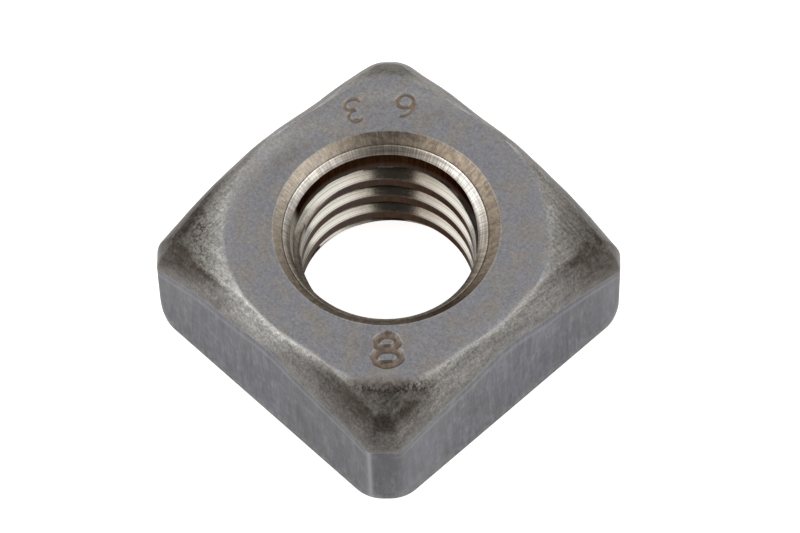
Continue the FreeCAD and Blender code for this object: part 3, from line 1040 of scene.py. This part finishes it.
def forged_steel():
    """Bare forged steel: a colour for each part of the nut, chosen by its masks."""
    graph = Graph("bare_steel")
    place = graph.stretched((1, 1, 1))
    cloud = graph.noise(graph.stretched((1, 1, 1), 0.7), 0.9, 4, 0.6)
    mottle = graph.noise(graph.stretched((1, 1, 1), 0.3), 2.6, 4, 0.65)
    speckle = graph.noise(place, 7, 4, 0.72)
    grain = graph.noise(place, 17, 3, 0.7)

    colour = top_colour(graph, cloud, mottle, speckle, grain)
    side = side_colour(graph, cloud, mottle, speckle)
    parts = {"crown": crown_colour(graph, cloud, mottle, speckle, grain),
             "side": side, "base": side, **hole_colours(graph, mottle, speckle)}
    for name, part in parts.items():
        colour = graph.blend(graph.mask(name), colour, part)
    figure = graph.tinted(FIGURE_BROWN, graph.spread(mottle, 0.35, 0.65, 0.7, 1.3))
    colour = graph.blend(graph.math("MULTIPLY", graph.mask("stamp"), 0.85), colour, figure)

    rough = TOP_ROUGHNESS
    for name, value in ROUGHNESS.items():
        rough = graph.blend_value(graph.mask(name), rough, value)
    rough = graph.math("ADD", rough, graph.spread(speckle, 0.3, 0.7, -0.05, 0.06))

    bump = graph.make("ShaderNodeBump")
    bump.inputs["Strength"].default_value = BUMP_STRENGTH
    bump.inputs["Distance"].default_value = BUMP_DEPTH
    relief = graph.math("ADD", speckle, graph.math("MULTIPLY", grain, 0.5))
    relief = graph.math("MULTIPLY", relief, graph.blend_value(graph.mask("crown"), 0.6, 1.6))
    relief = graph.math("MULTIPLY", relief, graph.blend_value(graph.mask("flank"), 1.0, 0.15))
    graph.feed(bump.inputs["Height"], relief)

    shader = graph.shader
    graph.feed(shader.inputs["Base Color"], colour)
    graph.feed(shader.inputs["Roughness"], rough)
    graph.feed(shader.inputs["Specular Tint"], graph.blend(graph.mask("bare"), WHITE, BORE_GLINT))
    graph.feed(shader.inputs["Normal"], bump.outputs[0])
    shader.inputs["Metallic"].default_value = 1.0
    return graph.material


def table_white():
    """Matt white that the camera and the metal see as lit from within."""
    graph = Graph("table_white")
    paths = graph.make("ShaderNodeLightPath").outputs
    seen = graph.math("ADD", graph.math("ADD", paths["Is Camera Ray"], paths["Is Glossy Ray"]),
                      paths["Is Transmission Ray"])
    shader = graph.shader
    shader.inputs["Base Color"].default_value = (0.8, 0.8, 0.8, 1)
    shader.inputs["Roughness"].default_value = 0.9
    shader.inputs["Specular IOR Level"].default_value = 0.1
    shader.inputs["Emission Color"].default_value = (1, 1, 1, 1)
    graph.feed(shader.inputs["Emission Strength"],
               graph.math("MULTIPLY", graph.math("MINIMUM", seen, 1.0), TABLE_GLOW))
    return graph.material


def studio_world(camera_direction):
    """Soft room: white at the horizon, greyer overhead, dark behind the camera's place."""
    world = bpy.data.worlds.new("studio")
    bpy.context.scene.world = world
    world.use_nodes = True
    tree = world.node_tree
    sky = tree.nodes["Background"]
    direction = tree.nodes.new("ShaderNodeTexCoord").outputs["Generated"]

    def toward(vector, low, high, to_low, to_high):
        """Level of the light by how nearly it comes from a direction."""
        dot = tree.nodes.new("ShaderNodeVectorMath")
        dot.operation = "DOT_PRODUCT"
        tree.links.new(direction, dot.inputs[0])
        dot.inputs[1].default_value = vector
        spread = tree.nodes.new("ShaderNodeMapRange")
        spread.interpolation_type = "SMOOTHSTEP"
        tree.links.new(dot.outputs["Value"], spread.inputs[0])
        for socket, number in zip(spread.inputs[1:5], (low, high, to_low, to_high)):
            socket.default_value = number
        return spread.outputs[0]

    def times(first, second):
        """Product of two levels."""
        node = tree.nodes.new("ShaderNodeMath")
        node.operation = "MULTIPLY"
        tree.links.new(first, node.inputs[0])
        tree.links.new(second, node.inputs[1])
        return node.outputs[0]

    overhead = toward((0, 0, 1), *SKY_SPREAD, *SKY_LEVELS)
    beside_camera = Matrix.Rotation(DARK_PATCH_TURN, 3, "Z") @ camera_direction
    dark = toward(beside_camera, *DARK_PATCH_SPREAD, 1.0, DARK_PATCH_LEVEL)
    below = Vector((camera_direction[0], camera_direction[1], DARK_FRONT_RISE)).normalized()
    front = toward(below, *DARK_FRONT_SPREAD, 1.0, DARK_FRONT_LEVEL)
    tree.links.new(times(times(overhead, dark), front), sky.inputs["Strength"])
    sky.inputs["Color"].default_value = (*SKY_COLOUR, 1)


def soft_box(name, bearing, power):
    """A square area lamp that looks down at the nut."""
    data = bpy.data.lights.new(name, "AREA")
    data.shape = "RECTANGLE"
    data.size = data.size_y = SOFT_BOX_SIZE
    data.energy = power
    lamp = bpy.data.objects.new(name, data)
    bearing, across = math.radians(bearing), math.cos(SOFT_BOX_ELEVATION)
    away = Vector((math.cos(bearing) * across, math.sin(bearing) * across,
                   math.sin(SOFT_BOX_ELEVATION)))
    lamp.matrix_world = (Matrix.Translation(away * SOFT_BOX_DISTANCE)
                         @ away.to_track_quat("Z", "Y").to_matrix().to_4x4())
    bpy.context.scene.collection.objects.link(lamp)


def make_table(name):
    """A square white sheet just under the nut."""
    corners = [(-TABLE_REACH, -TABLE_REACH), (TABLE_REACH, -TABLE_REACH),
               (TABLE_REACH, TABLE_REACH), (-TABLE_REACH, TABLE_REACH)]
    mesh = bpy.data.meshes.new(name)
    mesh.from_pydata([(x, y, TABLE_TOP) for x, y in corners], [], [(0, 1, 2, 3)])
    mesh.materials.append(table_white())
    table = bpy.data.objects.new(name, mesh)
    bpy.context.scene.collection.objects.link(table)
    return table


nut = make_nut("forged_nut")
nut.data.materials.append(forged_steel())
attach(nut, "root")
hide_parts(NODE)
print("nut triangles", sum(len(face.vertices) - 2 for face in nut.data.polygons))

to_camera = aim_camera()

floor = make_table("table")

studio_world(to_camera)
for name, (bearing, power) in SOFT_BOXES.items():
    soft_box(name, bearing, power)
bpy.context.scene.view_settings.view_transform = "Standard"
